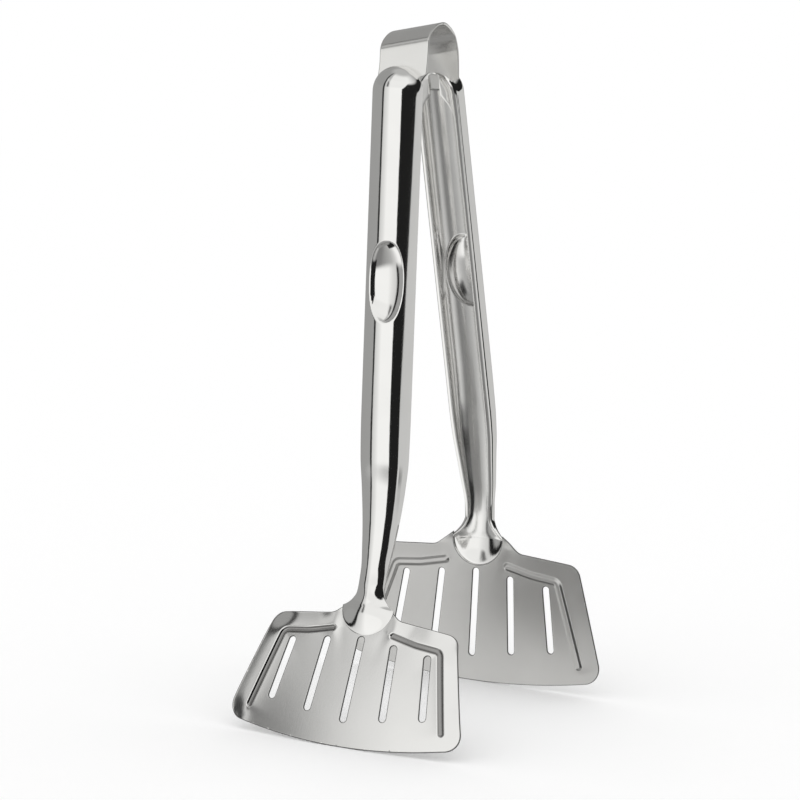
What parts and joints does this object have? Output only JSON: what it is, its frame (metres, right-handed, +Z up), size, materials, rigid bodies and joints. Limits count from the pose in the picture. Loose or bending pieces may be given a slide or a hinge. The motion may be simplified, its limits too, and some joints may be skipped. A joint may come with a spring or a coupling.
{
  "type": "fish tongs",
  "caption": "Stainless steel tongs with slotted spatula blades on C-section handles, joined by a bent spring strip.",
  "frame": {"origin": "bottom centre of the bounding box of the open tongs, standing on the blades' lower edges", "axes": "+X across the blades, +Y the way the tongs open, from the front arm to the back arm, +Z up to the bow"},
  "size_m": [0.1266, 0.1436, 0.3],
  "materials": {
    "pressed_steel": "polished handle, satin blade",
    "spring_steel": "satin"
  },
  "bodies": {
    "bow": {"spring_strip": "spring_steel"},
    "front": {"front_arm": "pressed_steel"},
    "back": {"back_arm": "pressed_steel"}
  },
  "joints": [
    {"name": "front_squeeze", "type": "hinge", "parent": "bow", "child": "front", "pos_m": [0, -0.01601, 0.28453], "axis": [1, 0, 0], "range_deg": [-3, 13.2], "stiffness_Nm_per_rad": 8, "deforming": ["spring_strip"]},
    {"name": "back_squeeze", "type": "hinge", "parent": "bow", "child": "back", "pos_m": [0, -0.01601, 0.28453], "axis": [1, 0, 0], "range_deg": [-13.2, 3], "stiffness_Nm_per_rad": 8, "deforming": ["spring_strip"]}
  ],
  "couplings": [
    {"joint": "front_squeeze", "follows": "back_squeeze", "ratio": -1}
  ]
}
